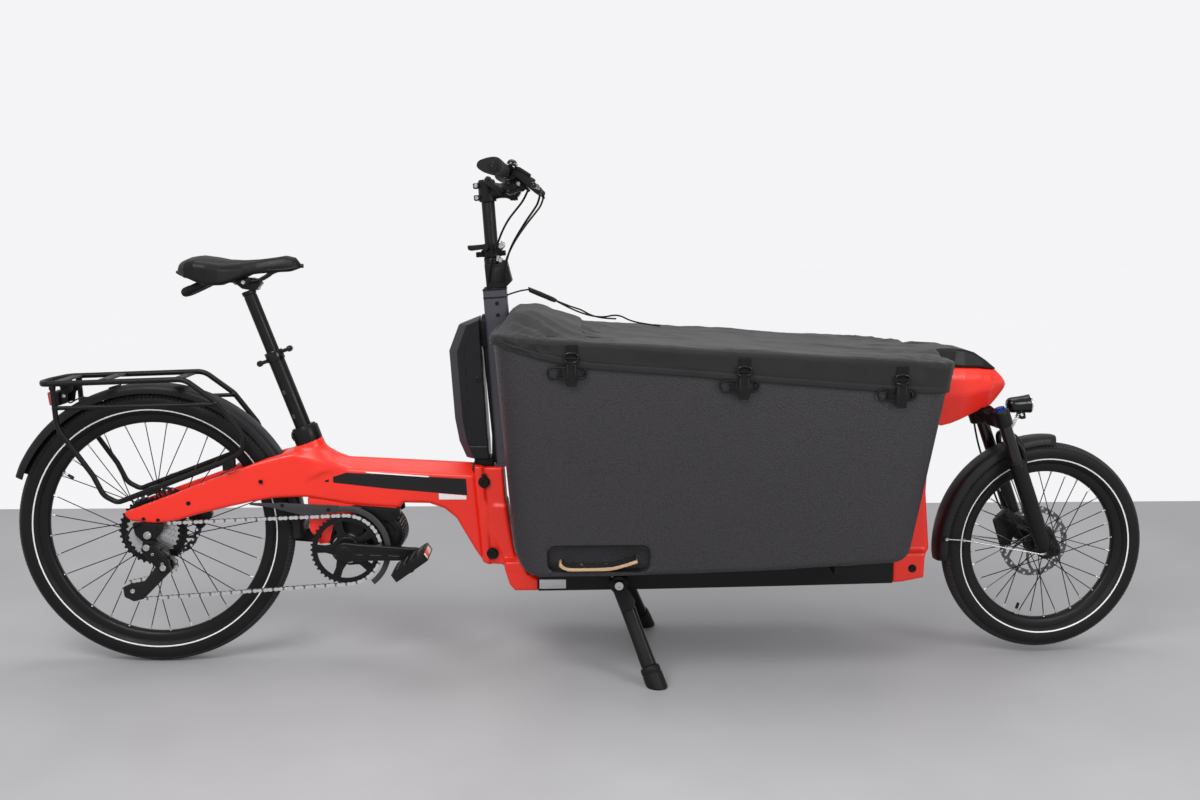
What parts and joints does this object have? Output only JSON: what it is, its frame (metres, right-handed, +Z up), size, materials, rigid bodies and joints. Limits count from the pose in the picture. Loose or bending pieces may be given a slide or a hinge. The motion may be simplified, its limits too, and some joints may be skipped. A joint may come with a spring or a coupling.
{
  "type": "electric front-loading cargo bicycle",
  "caption": "Two-wheeled electric cargo bicycle with a long covered box between a cable-steered front wheel and the rider, shown parked on its centre stand.",
  "frame": {"origin": "on the ground, at the middle of the bicycle's length and width", "axes": "+X forward, +Y to the rider's left, +Z up"},
  "size_m": [2.774, 0.654, 1.208],
  "materials": {
    "frame_red": "satin red-orange paint",
    "black_metal": "satin black paint",
    "mast_grey": "satin dark grey paint",
    "black_plastic": "matte black",
    "guard_grey": "matte dark grey",
    "box_black": "pebbled matte black",
    "cover_fabric": "coated charcoal weave",
    "webbing": "woven black webbing",
    "plywood": "birch plywood, dark film on top",
    "rubber": "black rubber",
    "tyre": "black with a white reflective stripe",
    "rim_black": "anodised black",
    "spoke": "black wire, bright nipples",
    "steel": "brushed",
    "alloy_black": "anodised black",
    "saddle_cover": "black synthetic leather",
    "lens_red": "red lens"
  },
  "bodies": {
    "root": {"rear_frame": "frame_red", "rear_dropouts": "black_metal", "frame_coupling": "frame_red", "chassis_beam": "black_metal", "front_frame": "frame_red", "nose_fairing": "frame_red", "nose_cap": "black_plastic", "steering_mast": "mast_grey", "cargo_box": "box_black", "box_cover": "cover_fabric", "cover_straps": "webbing", "side_steps": "plywood", "battery": "black_plastic", "motor": "alloy_black", "chain_guard": "guard_grey", "chain": "steel", "derailleur": "alloy_black", "rear_caliper": "alloy_black", "rear_mudguard": "black_plastic", "rear_rack": "black_metal", "tail_light": "lens_red", "seat_collar": "alloy_black", "seatpost": "alloy_black", "seat_clamp": "black_metal", "saddle": "saddle_cover", "cover_buckle": "webbing", "cover_cord_a": "webbing", "cover_cord_b": "webbing"},
    "stand": {"stand_legs": "black_metal", "stand_feet": "rubber"},
    "rear_wheel": {"rear_tyre": "tyre", "rear_rim": "rim_black", "rear_spokes": "spoke", "rear_hub": "alloy_black", "cassette": "steel", "rear_rotor": "steel"},
    "crank": {"chainring": "alloy_black", "crank_arms": "alloy_black"},
    "pedal_right": {"pedal_right": "black_plastic"},
    "pedal_left": {"pedal_left": "black_plastic"},
    "fork": {"fork_uppers": "black_metal", "fork_lowers": "black_metal", "front_mudguard": "black_plastic", "headlight": "black_plastic", "front_caliper": "alloy_black"},
    "front_wheel": {"front_tyre": "tyre", "front_rim": "rim_black", "front_spokes": "spoke", "front_hub": "alloy_black", "front_rotor": "steel"},
    "handlebar": {"steering_column": "mast_grey", "column_clamp": "black_plastic", "stem": "alloy_black", "handlebar": "alloy_black", "grips": "rubber", "bar_controls": "alloy_black", "brake_hose_right": "rubber", "brake_hose_left": "rubber", "shift_cable": "rubber"}
  },
  "joints": [
    {"name": "rear_wheel_spin", "type": "hinge", "parent": "root", "child": "rear_wheel", "pos_m": [-1.053, 0, 0.3345], "axis": [0, 1, 0], "continuous": true},
    {"name": "crank_spin", "type": "hinge", "parent": "root", "child": "crank", "pos_m": [-0.5865, 0, 0.2895], "axis": [0, 1, 0], "continuous": true},
    {"name": "pedal_right_spin", "type": "hinge", "parent": "crank", "child": "pedal_right", "pos_m": [-0.41666, -0.146, 0.28208], "axis": [0, 1, 0], "continuous": true},
    {"name": "pedal_left_spin", "type": "hinge", "parent": "crank", "child": "pedal_left", "pos_m": [-0.75634, 0.146, 0.29691], "axis": [0, 1, 0], "continuous": true},
    {"name": "steering", "type": "hinge", "parent": "root", "child": "fork", "pos_m": [0.952, 0, 0.622], "axis": [-0.342, 0, 0.9397], "range_deg": [-51, 39]},
    {"name": "front_wheel_spin", "type": "hinge", "parent": "fork", "child": "front_wheel", "pos_m": [1.12975, 0.00504, 0.27391], "axis": [-0.0982, 0.9945, -0.0358], "continuous": true},
    {"name": "handlebar_turn", "type": "hinge", "parent": "root", "child": "handlebar", "pos_m": [-0.2225, 0, 0.915], "axis": [-0.0663, 0, 0.9978], "range_deg": [-51, 39]},
    {"name": "stand_fold", "type": "hinge", "parent": "root", "child": "stand", "pos_m": [0.07, 0, 0.222], "axis": [0, 1, 0], "range_deg": [0, 105]}
  ],
  "couplings": [
    {"joint": "handlebar_turn", "follows": "steering", "ratio": 1}
  ]
}
